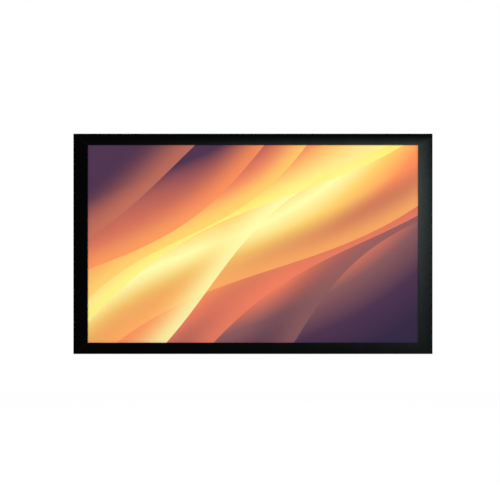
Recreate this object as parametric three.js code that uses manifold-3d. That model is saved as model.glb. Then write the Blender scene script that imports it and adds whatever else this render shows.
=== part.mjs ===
// Fixed frame projector screen, 92 inch class: a PVC sheet stretched behind a bevelled aluminium frame
// that is wrapped in black velvet. Millimetres, +Z up. The picture side faces -Y, the wall side +Y.
// The origin is the centre of the overall box.
import * as THREE from "three";
import { mergeVertices } from "three/addons/utils/BufferGeometryUtils.js";
import Module from "manifold-3d";

const wasm = await Module();
wasm.setup();

// Opening that shows the picture, and the width of the frame around it.
const pictureWidth = 2005;
const pictureHeight = 1200;
const sideFace = 85.5;
const topFace = 67.5;

// Section of the frame, from its front to its back.
const frameDepth = 38;
const bevelFall = 12;
const noseHeight = 6;
const frontLand = 22;
const landBlend = 60;
const edgeRadius = 2;

// Velvet wrap and how far it is turned in at the back and behind the nose.
const velvetThickness = 0.8;
const velvetBackReturn = 5.5;
const velvetNoseReturn = 12;

// Aluminium walls, and the slot at the back that takes the brackets.
const railWall = 1.8;
const slotLip = 2;
const slotDepth = 5;
const slotFromWall = 4.1;
const slotWidth = 19;
const slotMouth = 9;

// Groove and lip that the tension clips pull on, as distances from the back of the frame.
const grooveWidth = 7;
const grooveFloor = 12;
const lipBack = 5.5;

// Screen sheet, its welded hem and the rods in it.
const sheetThickness = 0.45;
const rodRadius = 2.5;
const rodFromLip = 12.2;
const weldWidth = 11;
const cornerCut = 24;
const rodJointGap = 16;

// Tension clips.
const clipPitch = 200;
const clipWidth = 16;
const clipArm = 3;
const clipJaw = 2.3;
const clipHook = 5.3;
const clipElbow = 3.5;
const notchMargin = 3;

// Corner brackets and splice bars, with the grub screws that clamp them.
const cornerLeg = 92;
const cornerRounding = 3;
const spliceLength = 150;
const grubRadius = 2.5;
const grubLength = 6;
const grubChamfer = 0.6;
const socketRadius = 1.45;
const socketDepth = 2.4;
const grubEndMargin = 15;
const grubPitch = 34;

// Wall brackets, bent from strip.
const wallGap = 5;
const bracketSteel = 2.5;
const bracketWidth = 90;
const bracketHeight = 42;
const bracketSpacing = 1120;
const bracketUpturn = 4;
const bendRadius = 2.1;
const wallSlotWidth = 6;
const wallSlotLength = 16;
const wallSlotSpacing = 48;

// Centre support bar and the plugs at its ends.
const barWidth = 30;
const barDepth = 10;
const barWall = 1.5;
const barToHem = 2.2;
const plugShoulder = 5;
const plugInsert = 34;

// Clearances: the fit between pieces that meet, and the hairline at a mitre or a butt joint.
const fit = 0.3;
const hairline = 0.25;

const outerWidth = pictureWidth + 2 * sideFace;
const outerHeight = pictureHeight + 2 * topFace;
const skin = velvetThickness + fit;

// Distances from the back of the frame, called v. The sheet lies behind the nose of the frame.
const noseFront = frameDepth - bevelFall;
const noseBack = noseFront - noseHeight;
const sheetFront = noseBack - fit;
const hemRadius = rodRadius + fit + sheetThickness;
const rodV = sheetFront - hemRadius;
const slotFloor = slotLip + slotDepth;
const barFront = rodV - hemRadius - barToHem;
const barBack = barFront - barDepth;

// Distances from the outer edge towards the picture, called u. The side rails are wider than the top
// and bottom rails, so their places are stretched by the ratio of the faces and meet at the mitre.
const sideStretch = sideFace / topFace;
function stations(stretch) {
  const slotStart = skin + railWall + slotFromWall;
  const slotEnd = slotStart + slotWidth;
  const slotMiddle = (slotStart + slotEnd) / 2;
  const chamberEnd = (slotEnd + railWall) * stretch;
  const lip = chamberEnd + grooveWidth;
  return {
    face: topFace * stretch,
    land: frontLand * stretch,
    slotStart: slotStart * stretch,
    slotEnd: slotEnd * stretch,
    slotMiddle: slotMiddle * stretch,
    mouthStart: (slotMiddle - slotMouth / 2) * stretch,
    mouthEnd: (slotMiddle + slotMouth / 2) * stretch,
    chamberEnd,
    lip,
    lipInside: lip + railWall,
    rod: lip + railWall + rodFromLip,
  };
}
const across = stations(1);
const upright = stations(sideStretch);

const velvet = new THREE.MeshStandardMaterial({ color: 0x0b0c0c, roughness: 0.95, metalness: 0 });
const anodised = new THREE.MeshStandardMaterial({ color: 0x1d1f21, roughness: 0.45, metalness: 0.7 });
const whitePvc = new THREE.MeshStandardMaterial({ color: 0xf1f1ee, roughness: 0.85, metalness: 0 });
const blackAcetal = new THREE.MeshStandardMaterial({ color: 0x161617, roughness: 0.5, metalness: 0 });
const zincSteel = new THREE.MeshStandardMaterial({ color: 0xb4b8bc, roughness: 0.35, metalness: 1 });
const blackSteel = new THREE.MeshStandardMaterial({ color: 0x232427, roughness: 0.4, metalness: 0.8 });

// Points along an arc, both ends included. Angles are in degrees.
function arcPoints(x, y, radius, from, to, step = 26) {
  const count = Math.max(1, Math.ceil(Math.abs(to - from) / step));
  return Array.from({ length: count + 1 }, (_, i) => {
    const angle = THREE.MathUtils.degToRad(from + ((to - from) * i) / count);
    return new THREE.Vector2(x + radius * Math.cos(angle), y + radius * Math.sin(angle));
  });
}
const circlePoints = (x, y, radius, sides) => arcPoints(x, y, radius, 0, 360, 360 / sides).slice(1);

// Points of a closed outline through corners given as [x, y, radius], each rounded by its radius.
function roundedOutline(corners) {
  return corners.flatMap(([x, y, radius = 0], i) => {
    const corner = new THREE.Vector2(x, y);
    if (radius <= 0) return [corner];
    const before = corners[(i + corners.length - 1) % corners.length];
    const after = corners[(i + 1) % corners.length];
    const back = new THREE.Vector2(before[0], before[1]).sub(corner).normalize();
    const on = new THREE.Vector2(after[0], after[1]).sub(corner).normalize();
    const half = Math.acos(THREE.MathUtils.clamp(back.dot(on), -1, 1)) / 2;
    const middle = back.clone().add(on).normalize();
    const centre = corner.clone().addScaledVector(middle, radius / Math.sin(half));
    const first = corner.clone().addScaledVector(back, radius / Math.tan(half)).sub(centre);
    const start = THREE.MathUtils.radToDeg(first.angle());
    const turn = (180 - 2 * THREE.MathUtils.radToDeg(half)) * (back.cross(on) < 0 ? 1 : -1);
    return arcPoints(centre.x, centre.y, radius, start, start + turn);
  });
}

// Corners of an open path moved to the right of its direction, with radii that follow.
function offsetPath(corners, distance) {
  const rightOf = (a, b) => {
    const along = new THREE.Vector2(b[0] - a[0], b[1] - a[1]).normalize();
    return new THREE.Vector2(along.y, -along.x);
  };
  return corners.map((corner, i) => {
    const before = i ? rightOf(corners[i - 1], corner) : rightOf(corner, corners[i + 1]);
    const after = i < corners.length - 1 ? rightOf(corner, corners[i + 1]) : before;
    const middle = before.clone().add(after).normalize();
    const reach = distance / middle.dot(after);
    const inwards = before.cross(after) < 0 ? distance : -distance;
    const radius = corner[2] ? Math.max(corner[2] - inwards, 0.2) : 0;
    return [corner[0] + middle.x * reach, corner[1] + middle.y * reach, radius];
  });
}

// A closed geometry as a solid that can be joined and cut, and a solid as a geometry again.
function solidFrom(geometry) {
  const bare = geometry.index ? geometry.toNonIndexed() : geometry.clone();
  bare.deleteAttribute("normal");
  bare.deleteAttribute("uv");
  const merged = mergeVertices(bare, 1e-4);
  const vertProperties = merged.attributes.position.array;
  const triVerts = new Uint32Array(merged.index.array);
  return new wasm.Manifold(new wasm.Mesh({ numProp: 3, vertProperties, triVerts }));
}
function geometryFrom(solid) {
  const mesh = solid.getMesh();
  const geometry = new THREE.BufferGeometry();
  geometry.setAttribute("position", new THREE.BufferAttribute(mesh.vertProperties, mesh.numProp));
  geometry.setIndex(new THREE.BufferAttribute(mesh.triVerts, 1));
  geometry.computeVertexNormals();
  return geometry;
}
const joined = (solids) => solids.reduce((sum, solid) => sum.add(solid));
const cutBy = (solid, tools) => tools.reduce((rest, tool) => rest.subtract(tool), solid);

// The whole screen is drawn from its back plane, where y = 0 and y = -v.
const screen = new THREE.Group();
screen.position.y = (frameDepth - wallGap) / 2;

function addPiece(parent, name, geometry, material) {
  const mesh = new THREE.Mesh(geometry, material);
  mesh.name = name;
  parent.add(mesh);
  return mesh;
}

// Each edge of the frame has a group: its outer edge runs along local X at z = 0 and the picture lies
// towards local -Z, so that z = -u.
function edgeGroup(turn, x, z) {
  const group = new THREE.Group();
  group.rotation.y = turn;
  group.position.set(x, 0, z);
  group.updateMatrix();
  screen.add(group);
  return group;
}
const topEdge = edgeGroup(0, 0, outerHeight / 2);
const bottomEdge = edgeGroup(Math.PI, 0, -outerHeight / 2);
const leftEdge = edgeGroup(-Math.PI / 2, -outerWidth / 2, 0);
const rightEdge = edgeGroup(Math.PI / 2, outerWidth / 2, 0);

// A section drawn as (u, v) and carried along an edge from one local x to another.
const sectionAxes = new THREE.Matrix4().makeBasis(
  new THREE.Vector3(0, 0, -1),
  new THREE.Vector3(0, -1, 0),
  new THREE.Vector3(-1, 0, 0),
);
function carried(outline, from, to, holes = []) {
  const shape = new THREE.Shape(outline);
  shape.holes = holes.map((points) => new THREE.Path(points));
  const geometry = new THREE.ExtrudeGeometry(shape, { depth: to - from, bevelEnabled: false });
  return geometry.applyMatrix4(sectionAxes).translate(to, 0, 0);
}

// A flat slab drawn in local X and Z, between two distances from the back plane.
function slab(outline, back, front, holes = []) {
  const shape = new THREE.Shape(outline);
  shape.holes = holes.map((points) => new THREE.Path(points));
  const geometry = new THREE.ExtrudeGeometry(shape, { depth: front - back, bevelEnabled: false });
  return geometry.rotateX(Math.PI / 2).translate(0, -back, 0);
}

// Gives a carried section its real ends: each is a function from u to the place along the edge.
function shapedEnds(geometry, lowEnd, highEnd) {
  const position = geometry.attributes.position;
  for (let i = 0; i < position.count; i++) {
    const end = position.getX(i) < 0 ? lowEnd : highEnd;
    position.setX(i, end(-position.getZ(i)));
  }
  return geometry;
}
const topMitre = (u) => outerWidth / 2 - sideStretch * u - hairline;
const sideMitre = (u) => outerHeight / 2 - u / sideStretch - hairline;
const centreJoint = () => hairline / 2;
const mirrored = (end) => (u) => -end(u);

// The visible face of the frame: up its outer side, over the flat land and the bevel, and round the
// nose to its back.
function facePath(at) {
  return [
    [velvetBackReturn, -skin, 0],
    [0, -skin, edgeRadius],
    [0, frameDepth, edgeRadius],
    [at.land, frameDepth, landBlend],
    [at.face, noseFront, edgeRadius],
    [at.face, noseBack, edgeRadius],
    [at.face - velvetNoseReturn, noseBack, 0],
  ];
}

// Velvet wrap: one strip of cloth glued over the face, with its edges turned in.
function velvetOutline(at) {
  const outside = facePath(at);
  const inside = offsetPath(outside, velvetThickness);
  return roundedOutline([...outside, ...inside.reverse()]);
}

// Rail: a hollow extrusion under the velvet. Its outline runs along the back, in and out of the
// bracket slot, round the clip groove and its lip, under the bevel to the nose, and home over the face.
function railOutline(at) {
  const [, backCorner, frontCorner, landCorner, bevelEnd, noseCorner] = offsetPath(facePath(at), skin);
  const [, , , underLand, underBevel, noseInside] = offsetPath(facePath(at), skin + railWall);
  const underBevelAt = (u) =>
    THREE.MathUtils.mapLinear(u, underLand[0], underBevel[0], underLand[1], underBevel[1]);
  const returnEnd = at.face - velvetNoseReturn;
  return roundedOutline([
    backCorner,
    [at.mouthStart, 0],
    [at.mouthStart, slotLip],
    [at.slotStart, slotLip],
    [at.slotStart, slotFloor],
    [at.slotEnd, slotFloor],
    [at.slotEnd, slotLip],
    [at.mouthEnd, slotLip],
    [at.mouthEnd, 0],
    [at.chamberEnd, 0],
    [at.chamberEnd, grooveFloor],
    [at.lip, grooveFloor],
    [at.lip, lipBack],
    [at.lipInside, lipBack],
    [at.lipInside, grooveFloor + railWall],
    [at.chamberEnd, grooveFloor + railWall],
    [at.chamberEnd, underBevelAt(at.chamberEnd)],
    [underBevel[0], underBevel[1]],
    [underBevel[0], noseInside[1]],
    [returnEnd, noseInside[1]],
    [returnEnd, noseCorner[1]],
    noseCorner,
    bevelEnd,
    landCorner,
    frontCorner,
  ]);
}
function railChamber(at) {
  const [, , underFront, underLand, underBevel] = offsetPath(facePath(at), skin + railWall);
  const inside = at.chamberEnd - railWall;
  const top = THREE.MathUtils.mapLinear(inside, underLand[0], underBevel[0], underLand[1], underBevel[1]);
  return roundedOutline([
    [underFront[0], slotLip],
    [at.slotStart - railWall, slotLip],
    [at.slotStart - railWall, slotFloor + railWall],
    [inside, slotFloor + railWall],
    [inside, top],
    underLand,
    [underFront[0], underFront[1]],
  ]);
}

function addRail(edge, name, at, lowEnd, highEnd) {
  const rail = carried(railOutline(at), -1, 1, [railChamber(at)]);
  addPiece(edge, `rail_${name}`, shapedEnds(rail, lowEnd, highEnd), anodised);
  const wrap = carried(velvetOutline(at), -1, 1);
  addPiece(edge, `velvet_${name}`, shapedEnds(wrap, lowEnd, highEnd), velvet);
}
addRail(topEdge, "top_left", across, mirrored(topMitre), mirrored(centreJoint));
addRail(topEdge, "top_right", across, centreJoint, topMitre);
addRail(bottomEdge, "bottom_right", across, mirrored(topMitre), mirrored(centreJoint));
addRail(bottomEdge, "bottom_left", across, centreJoint, topMitre);
addRail(leftEdge, "left", upright, mirrored(sideMitre), sideMitre);
addRail(rightEdge, "right", upright, mirrored(sideMitre), sideMitre);

// The sheet reaches the middle of each rod, and its corners are cut off between the hems.
const sheetHalfWidth = outerWidth / 2 - upright.rod;
const sheetHalfHeight = outerHeight / 2 - across.rod;

// The rods end just inside the hems. The long edges have two rods with a gap at the centre.
const rodEnd = (half) => half - cornerCut - fit;
const longRods = [
  [-rodEnd(sheetHalfWidth), -rodJointGap / 2],
  [rodJointGap / 2, rodEnd(sheetHalfWidth)],
];
const shortRods = [[-rodEnd(sheetHalfHeight), rodEnd(sheetHalfHeight)]];

// Where the clips sit on a rod.
function clipPlaces([from, to]) {
  const count = Math.max(1, Math.round((to - from) / clipPitch));
  return Array.from({ length: count }, (_, i) => from + ((i + 0.5) * (to - from)) / count);
}
const notchHalf = clipWidth / 2 + notchMargin;
const notchDepth = rodRadius + clipJaw + 2 * fit;

// Hem: the sheet turns round the rod and is welded back to itself. The loop leaves the rod at 45
// degrees, so its straight part meets the sheet at root two radii from the rod.
const hemInside = hemRadius - sheetThickness;
const loopPoints = (rod, radius) => arcPoints(rod, rodV, radius, 90, 315, 38);
function hemOutline(rod) {
  const weldBack = hemInside - sheetThickness;
  const weldEnd = rod + Math.SQRT2 * hemRadius + weldWidth;
  return [
    new THREE.Vector2(weldEnd, rodV + hemRadius),
    ...loopPoints(rod, hemRadius),
    new THREE.Vector2(rod + Math.SQRT2 * hemRadius + weldBack, rodV + weldBack),
    new THREE.Vector2(weldEnd, rodV + weldBack),
  ];
}
function hemHollow(rod) {
  const meeting = new THREE.Vector2(rod + Math.SQRT2 * hemInside + hemInside, rodV + hemInside);
  return [...loopPoints(rod, hemInside), meeting];
}

// Lengths of hem between the clips of one edge.
function hemSolids(edge, rod, half, rods) {
  const clips = rods.flatMap(clipPlaces);
  const starts = [-half + cornerCut, ...clips.map((x) => x + notchHalf)];
  const ends = [...clips.map((x) => x - notchHalf), half - cornerCut];
  return starts.map((start, i) => {
    const hem = carried(hemOutline(rod), start, ends[i], [hemHollow(rod)]);
    return solidFrom(hem.applyMatrix4(edge.matrix));
  });
}

// One edge of the flat sheet with its notches, as distances along the edge and inwards from it.
function notchedEdge(half, rods) {
  const notches = rods.flatMap(clipPlaces).flatMap((x) => [
    [x - notchHalf, 0],
    [x - notchHalf, notchDepth],
    [x + notchHalf, notchDepth],
    [x + notchHalf, 0],
  ]);
  return [[-half + cornerCut, 0], ...notches, [half - cornerCut, 0]];
}
const longEdge = notchedEdge(sheetHalfWidth, longRods);
const shortEdge = notchedEdge(sheetHalfHeight, shortRods);
const sheetOutline = [
  ...longEdge.map(([s, d]) => new THREE.Vector2(s, sheetHalfHeight - d)),
  ...shortEdge.map(([s, d]) => new THREE.Vector2(sheetHalfWidth - d, -s)),
  ...longEdge.map(([s, d]) => new THREE.Vector2(-s, -sheetHalfHeight + d)),
  ...shortEdge.map(([s, d]) => new THREE.Vector2(-sheetHalfWidth + d, s)),
];
const sheetSolid = joined([
  solidFrom(slab(sheetOutline, sheetFront - sheetThickness, sheetFront)),
  ...hemSolids(topEdge, across.rod, sheetHalfWidth, longRods),
  ...hemSolids(bottomEdge, across.rod, sheetHalfWidth, longRods),
  ...hemSolids(leftEdge, upright.rod, sheetHalfHeight, shortRods),
  ...hemSolids(rightEdge, upright.rod, sheetHalfHeight, shortRods),
]);
addPiece(screen, "screen_sheet", geometryFrom(sheetSolid), whitePvc);

// Tension clip: it hooks over the lip of the rail, and its jaw reaches round the rod from behind.
const clipFront = lipBack - fit;
const clipBack = clipFront - clipArm;
const jawCore = 0.9 * rodRadius;
function clipOutline(at) {
  const hookFace = at.lip - fit;
  const elbow = at.lipInside + clipElbow;
  return [
    new THREE.Vector2(hookFace - clipArm, clipBack),
    new THREE.Vector2(elbow, clipBack),
    ...arcPoints(at.rod, rodV, rodRadius + clipJaw, -65, 85, 38),
    ...arcPoints(at.rod, rodV, jawCore, 85, -130, 72),
    new THREE.Vector2(elbow - clipArm / 2, clipFront),
    new THREE.Vector2(hookFace, clipFront),
    new THREE.Vector2(hookFace, clipFront + clipHook),
    new THREE.Vector2(hookFace - clipArm, clipFront + clipHook),
  ];
}

// Rod with the clips that are snapped on it.
function addRod(edge, name, at, run) {
  const rod = solidFrom(carried(circlePoints(at.rod, rodV, rodRadius, 10), run[0], run[1]));
  const clips = clipPlaces(run).map((x) =>
    solidFrom(carried(clipOutline(at), x - clipWidth / 2, x + clipWidth / 2)),
  );
  addPiece(edge, `tension_rod_${name}`, geometryFrom(joined([rod, ...clips])), blackAcetal);
}
addRod(topEdge, "top_left", across, longRods[0]);
addRod(topEdge, "top_right", across, longRods[1]);
addRod(bottomEdge, "bottom_right", across, longRods[0]);
addRod(bottomEdge, "bottom_left", across, longRods[1]);
addRod(leftEdge, "left", upright, shortRods[0]);
addRod(rightEdge, "right", upright, shortRods[0]);

// Grub screw with a hexagon socket at its back end. Its point is at y = 0.
function grubGeometry() {
  const profile = [
    [0, 0],
    [grubRadius - grubChamfer, 0],
    [grubRadius, grubChamfer],
    [grubRadius, grubLength],
    [0, grubLength],
  ].map(([r, y]) => new THREE.Vector2(r, y));
  const socket = new THREE.CylinderGeometry(socketRadius, socketRadius, 2 * socketDepth, 6);
  const body = solidFrom(new THREE.LatheGeometry(profile, 12));
  return geometryFrom(body.subtract(solidFrom(socket.translate(0, grubLength, 0))));
}
const grub = grubGeometry();
function addGrub(name, x, z) {
  addPiece(screen, name, grub, blackSteel).position.set(x, fit - slotFloor, z);
}
const grubHole = (x, z) => circlePoints(x, z, grubRadius + fit, 12);

// Corner bracket: an L of steel plate with a leg in the slot of each rail, clamped by two grub screws
// a leg. Its places are distances from the outer corner of the frame.
function addCornerBracket(name, sideways, up) {
  const place = (fromSide, fromTop) => [
    sideways * (outerWidth / 2 - fromSide),
    up * (outerHeight / 2 - fromTop),
  ];
  const outerX = upright.slotStart + fit;
  const outerZ = across.slotStart + fit;
  const innerX = upright.slotEnd - fit;
  const innerZ = across.slotEnd - fit;
  const outline = roundedOutline([
    [...place(outerX, outerZ), cornerRounding],
    place(outerX + cornerLeg, outerZ),
    place(outerX + cornerLeg, innerZ),
    place(innerX, innerZ),
    place(innerX, outerZ + cornerLeg),
    place(outerX, outerZ + cornerLeg),
  ]);
  const reach = [cornerLeg - grubEndMargin, cornerLeg - grubEndMargin - grubPitch];
  const places = reach.flatMap((r) => [
    place(outerX + r, across.slotMiddle),
    place(upright.slotMiddle, outerZ + r),
  ]);
  const holes = places.map(([x, z]) => grubHole(x, z));
  addPiece(screen, `corner_bracket_${name}`, slab(outline, slotLip + fit, slotFloor - fit, holes), zincSteel);
  places.forEach(([x, z], i) => addGrub(`corner_screw_${name}_${i + 1}`, x, z));
}
addCornerBracket("top_left", -1, 1);
addCornerBracket("top_right", 1, 1);
addCornerBracket("bottom_left", -1, -1);
addCornerBracket("bottom_right", 1, -1);

// Splice bar: it lies in the slots across the joint of two rail halves.
function addSplice(name, up) {
  const z = up * (outerHeight / 2 - across.slotMiddle);
  const halfWidth = slotWidth / 2 - fit;
  const outline = roundedOutline([
    [-spliceLength / 2, z - halfWidth],
    [spliceLength / 2, z - halfWidth],
    [spliceLength / 2, z + halfWidth],
    [-spliceLength / 2, z + halfWidth],
  ]);
  const reach = [spliceLength / 2 - grubEndMargin, spliceLength / 2 - grubEndMargin - grubPitch];
  const places = reach.flatMap((r) => [-r, r]);
  const holes = places.map((x) => grubHole(x, z));
  addPiece(screen, `splice_bar_${name}`, slab(outline, slotLip + fit, slotFloor - fit, holes), zincSteel);
  places.forEach((x, i) => addGrub(`splice_screw_${name}_${i + 1}`, x, z));
}
addSplice("top", 1);
addSplice("bottom", -1);

// Wall bracket: strip steel bent to a Z. The plate is screwed to the wall through two slots, and the
// tongue passes through the mouth of the rail's slot and turns up behind its lip.
function wallBracketGeometry() {
  const middle = bracketSteel / 2;
  const tongue = across.mouthStart + fit + middle;
  const upturnV = slotLip + fit + bendRadius;
  const plateV = middle - wallGap;
  const line = [
    [tongue - middle - bracketUpturn, upturnV, 0],
    [tongue, upturnV, bendRadius],
    [tongue, plateV, bendRadius],
    [tongue - middle + bracketHeight, plateV, 0],
  ];
  const outline = roundedOutline([...offsetPath(line, middle), ...offsetPath(line, -middle).reverse()]);
  const strip = solidFrom(carried(outline, -bracketWidth / 2, bracketWidth / 2));
  const slotZ = -(tongue + bracketHeight / 2);
  const straight = (wallSlotLength - wallSlotWidth) / 2;
  const slots = [-wallSlotSpacing / 2, wallSlotSpacing / 2].map((x) => {
    const ends = [
      ...arcPoints(x + straight, slotZ, wallSlotWidth / 2, -90, 90, 45),
      ...arcPoints(x - straight, slotZ, wallSlotWidth / 2, 90, 270, 45),
    ];
    return solidFrom(slab(ends, -2 * wallGap, 0));
  });
  return geometryFrom(cutBy(strip, slots));
}
const wallBracket = wallBracketGeometry();
for (const [edge, name, leftwards] of [[topEdge, "top", -1], [bottomEdge, "bottom", 1]]) {
  const left = addPiece(edge, `wall_bracket_${name}_left`, wallBracket, zincSteel);
  left.position.x = (leftwards * bracketSpacing) / 2;
  const right = addPiece(edge, `wall_bracket_${name}_right`, wallBracket, zincSteel);
  right.position.x = (-leftwards * bracketSpacing) / 2;
}

// Centre support bar: an upright tube behind the sheet that keeps the long rails from bowing in.
const barStart = across.lipInside + fit + plugShoulder;
const barBox = (inset) => [
  new THREE.Vector2(-barWidth / 2 + inset, barBack + inset),
  new THREE.Vector2(barWidth / 2 - inset, barBack + inset),
  new THREE.Vector2(barWidth / 2 - inset, barFront - inset),
  new THREE.Vector2(-barWidth / 2 + inset, barFront - inset),
];
const barShape = new THREE.Shape(barBox(0));
barShape.holes = [new THREE.Path(barBox(barWall))];
const barLength = outerHeight - 2 * (barStart + fit);
const bar = new THREE.ExtrudeGeometry(barShape, { depth: barLength, bevelEnabled: false });
addPiece(screen, "support_bar", bar.rotateX(Math.PI).translate(0, 0, barLength / 2), anodised);

// Plug in the end of the bar: its shoulder bears on the lip of the rail, and its hook holds there.
function addBarPlug(edge, name) {
  const hookFace = across.lip - fit;
  const head = [
    [hookFace - clipArm, clipBack],
    [barStart, clipBack],
    [barStart, barFront],
    [across.lipInside + fit, barFront],
    [across.lipInside + fit, clipFront],
    [hookFace, clipFront],
    [hookFace, clipFront + clipHook],
    [hookFace - clipArm, clipFront + clipHook],
  ].map(([u, v]) => new THREE.Vector2(u, v));
  const inset = barWall + fit;
  const insert = [
    [barStart - plugShoulder / 2, barBack + inset],
    [barStart + plugInsert, barBack + inset],
    [barStart + plugInsert, barFront - inset],
    [barStart - plugShoulder / 2, barFront - inset],
  ].map(([u, v]) => new THREE.Vector2(u, v));
  const insertHalf = barWidth / 2 - inset;
  const solids = [carried(head, -barWidth / 2, barWidth / 2), carried(insert, -insertHalf, insertHalf)];
  addPiece(edge, `bar_plug_${name}`, geometryFrom(joined(solids.map(solidFrom))), blackAcetal);
}
addBarPlug(topEdge, "top");
addBarPlug(bottomEdge, "bottom");

export default screen;
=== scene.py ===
import math

import bmesh
import bpy
import mathutils
import numpy as np
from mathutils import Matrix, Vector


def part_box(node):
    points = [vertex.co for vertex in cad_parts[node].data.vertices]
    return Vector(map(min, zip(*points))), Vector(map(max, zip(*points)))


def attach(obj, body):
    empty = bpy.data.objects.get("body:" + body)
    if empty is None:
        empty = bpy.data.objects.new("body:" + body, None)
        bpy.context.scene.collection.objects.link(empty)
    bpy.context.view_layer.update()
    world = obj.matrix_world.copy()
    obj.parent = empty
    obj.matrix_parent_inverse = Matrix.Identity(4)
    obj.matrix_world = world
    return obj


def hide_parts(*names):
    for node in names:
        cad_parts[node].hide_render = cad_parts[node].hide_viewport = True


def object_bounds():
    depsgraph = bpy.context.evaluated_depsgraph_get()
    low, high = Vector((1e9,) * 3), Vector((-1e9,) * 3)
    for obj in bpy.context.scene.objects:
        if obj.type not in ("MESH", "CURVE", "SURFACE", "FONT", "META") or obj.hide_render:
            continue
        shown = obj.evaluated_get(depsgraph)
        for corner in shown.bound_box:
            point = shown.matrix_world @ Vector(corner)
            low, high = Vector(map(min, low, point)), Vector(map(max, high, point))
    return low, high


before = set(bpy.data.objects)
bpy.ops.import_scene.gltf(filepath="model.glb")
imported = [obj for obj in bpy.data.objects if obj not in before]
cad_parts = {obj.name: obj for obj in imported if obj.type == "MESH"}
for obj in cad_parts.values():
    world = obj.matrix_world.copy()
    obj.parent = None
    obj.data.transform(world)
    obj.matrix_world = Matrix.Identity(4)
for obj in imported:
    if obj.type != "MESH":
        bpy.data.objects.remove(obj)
cad_low, cad_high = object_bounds()


# Studio: the screen hangs a metre above a plain pale floor, lit by soft boxes from the front, and is
# seen square on. The camera stands where the outline has its place and width in the image.
MM = 0.001


class Link:
    """One output of a shader node. Arithmetic on it adds Math nodes."""

    def __init__(self, shader, socket):
        self.shader = shader
        self.socket = socket

    def __add__(self, other):
        return self.shader.math("ADD", self, other)

    __radd__ = __add__

    def __sub__(self, other):
        return self.shader.math("SUBTRACT", self, other)

    def __rsub__(self, other):
        return self.shader.math("SUBTRACT", other, self)

    def __mul__(self, other):
        return self.shader.math("MULTIPLY", self, other)

    __rmul__ = __mul__

    def __truediv__(self, other):
        return self.shader.math("DIVIDE", self, other)

    def __pow__(self, other):
        return self.shader.math("POWER", self, other)

    def __abs__(self):
        return self.shader.math("ABSOLUTE", self)

    def sin(self):
        return self.shader.math("SINE", self)

    def exp(self):
        return self.shader.math("EXPONENT", self)

    def smallest(self, other):
        return self.shader.math("MINIMUM", self, other)

    def largest(self, other):
        return self.shader.math("MAXIMUM", self, other)

    def smooth(self, low, high):
        """0 below low, 1 above high, and an S-curve between them."""
        values = {"Value": self, "From Min": low, "From Max": high}
        return self.shader.node("ShaderNodeMapRange", {"interpolation_type": "SMOOTHSTEP"}, values)


class Shader:
    """The node tree of a material or of the world, built from expressions on Links."""

    def __init__(self, owner):
        self.owner = owner
        owner.use_nodes = True
        self.tree = owner.node_tree
        self.tree.nodes.clear()

    def node(self, kind, settings=None, values=None, output=0):
        """Adds a node of a kind, makes its settings, feeds its inputs and returns an output."""
        made = self.tree.nodes.new(kind)
        for name, setting in (settings or {}).items():
            if name == "stops":
                self.stops(made.color_ramp, setting)
            else:
                setattr(made, name, setting)
        for name, value in (values or {}).items():
            self.feed(made.inputs[name], value)
        return Link(self, made.outputs[output]) if made.outputs else None

    def feed(self, socket, value):
        """Links a socket or sets it. A colour is three numbers, and gets its alpha here."""
        if isinstance(value, Link):
            self.tree.links.new(value.socket, socket)
        elif socket.type == "RGBA":
            socket.default_value = (*value, 1.0)
        else:
            socket.default_value = value

    def stops(self, ramp, stops):
        """Puts colours on a ramp at their places from 0 to 1."""
        while len(ramp.elements) < len(stops):
            ramp.elements.new(0.5)
        for element, (place, colour) in zip(ramp.elements, stops):
            element.position = place
            element.color = (*colour, 1.0)

    def math(self, operation, *values):
        return self.node("ShaderNodeMath", {"operation": operation}, dict(enumerate(values)))

    def blend(self, share, first, second):
        """A colour that goes from the first to the second as the share goes from 0 to 1. A Mix node has its
        two colours at inputs 6 and 7, and the result at output 2."""
        values = {"Factor": share, 6: first, 7: second}
        return self.node("ShaderNodeMix", {"data_type": "RGBA"}, values, output=2)

    def place(self):
        """The point's own x, y and z, in metres."""
        point = self.node("ShaderNodeTexCoord", output="Object")
        return [self.node("ShaderNodeSeparateXYZ", values={0: point}, output=i) for i in range(3)]

    def noise(self, sizes, detail=2.0):
        """Soft random values about 0.5, in lumps of a size in millimetres, or of a size each way."""
        point = self.node("ShaderNodeTexCoord", output="Object")
        steps = tuple(np.broadcast_to(sizes, 3) * MM)
        in_steps = self.node("ShaderNodeVectorMath", {"operation": "DIVIDE"}, {0: point, 1: steps})
        values = {"Vector": in_steps, "Scale": 1.0, "Detail": detail}
        return self.node("ShaderNodeTexNoise", values=values, output="Fac")

    def bump(self, height, depth):
        """A bumpy normal: where the height goes from 0 to 1, the surface rises by a depth in millimetres."""
        values = {"Height": height, "Distance": depth * MM, "Strength": 1.0}
        return self.node("ShaderNodeBump", values=values, output="Normal")

    def surface(self, **values):
        """The Principled surface, with its sockets named in lower case and joined by underscores."""
        named = {name.replace("_", " ").title().replace("Ior", "IOR"): v for name, v in values.items()}
        shown = self.node("ShaderNodeBsdfPrincipled", values=named, output="BSDF")
        self.node("ShaderNodeOutputMaterial", values={"Surface": shown})
        return self.owner


def material(name):
    return Shader(bpy.data.materials.new(name))


def seen_directly(shader):
    """1 where the ray comes from the camera, a reflection or a pane, else 0."""
    rays = ("Is Camera Ray", "Is Glossy Ray", "Is Transmission Ray")
    camera_ray, glossy_ray, pane_ray = [shader.node("ShaderNodeLightPath", output=ray) for ray in rays]
    return camera_ray.largest(glossy_ray).largest(pane_ray)


IMAGE_PIXELS = 500
OUTLINE_PIXELS = 359.2
OUTLINE_CENTRE = (252.95, 243.85)
CAMERA_DISTANCE = 8.0

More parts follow.
